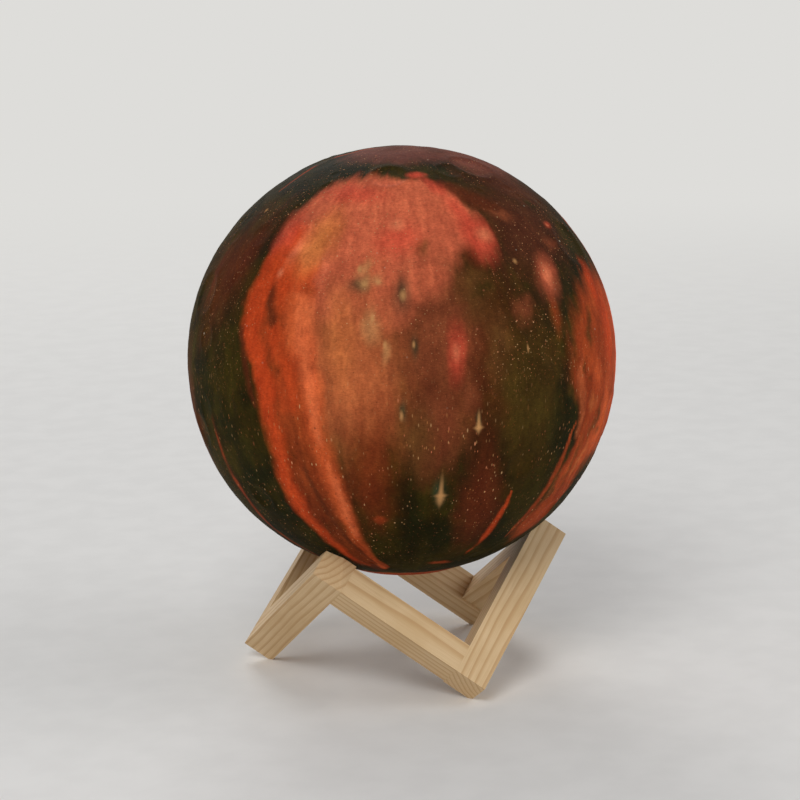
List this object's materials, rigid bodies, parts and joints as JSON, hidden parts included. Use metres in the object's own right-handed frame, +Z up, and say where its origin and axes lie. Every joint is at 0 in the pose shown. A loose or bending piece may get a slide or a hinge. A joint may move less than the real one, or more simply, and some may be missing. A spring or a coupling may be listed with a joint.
{
  "type": "moon lamp",
  "caption": "Table lamp: a printed globe shade with a soft galaxy print, its light unit inside, resting in a zigzag ring of square wooden rails.",
  "frame": {"origin": "on the floor, on the vertical axis of the wooden ring and the globe", "axes": "+Z up; -Y towards the ring's front low corner; +X to the right seen from the front"},
  "size_m": [0.15, 0.15, 0.1845],
  "materials": {
    "pine": "planed, unfinished",
    "dowel_wood": "plain",
    "printed_shell": "printed relief, translucent, lit from inside",
    "white_plastic": "fine moulded texture",
    "frosted_plastic": "frosted",
    "clear_plastic": "clear",
    "black_plastic": "moulded",
    "ivory_plastic": "moulded",
    "steel": "plated",
    "green_board": "solder mask",
    "white_board": "white solder mask on metal",
    "phosphor": "phosphor in a white frame",
    "battery_foil": "foil pouch",
    "foam": "foam tape",
    "lead_red": "insulated",
    "lead_mixed": "insulated"
  },
  "bodies": {
    "stand": {"long_rail_right": "pine", "long_rail_back": "pine", "long_rail_left": "pine", "short_rail_front": "pine", "short_rail_right": "pine", "short_rail_back": "pine", "joint_dowels": "dowel_wood"},
    "globe": {"globe_shade": "printed_shell", "base_housing": "white_plastic", "base_cover": "white_plastic", "diffuser": "frosted_plastic", "light_pipe": "clear_plastic", "tact_switch": "black_plastic", "control_chip": "black_plastic", "infrared_receiver": "black_plastic", "battery_connector": "ivory_plastic", "cover_screws": "steel", "main_board_screws": "steel", "led_board_screws": "steel", "charging_socket": "steel", "main_board": "green_board", "led_board": "white_board", "leds": "phosphor", "status_led": "phosphor", "battery": "battery_foil", "battery_pad": "foam", "battery_leads": "lead_red", "led_leads": "lead_mixed"},
    "button": {"push_button": "white_plastic", "switch_plunger": "black_plastic"}
  },
  "joints": [
    {"name": "globe_lift", "type": "slide", "parent": "stand", "child": "globe", "axis": [0, 0, 1], "range_m": [0, 0.06]},
    {"name": "button_press", "type": "slide", "parent": "globe", "child": "button", "axis": [0, 0, 1], "range_m": [0, 0.0006], "stiffness_N_per_m": 2000}
  ]
}
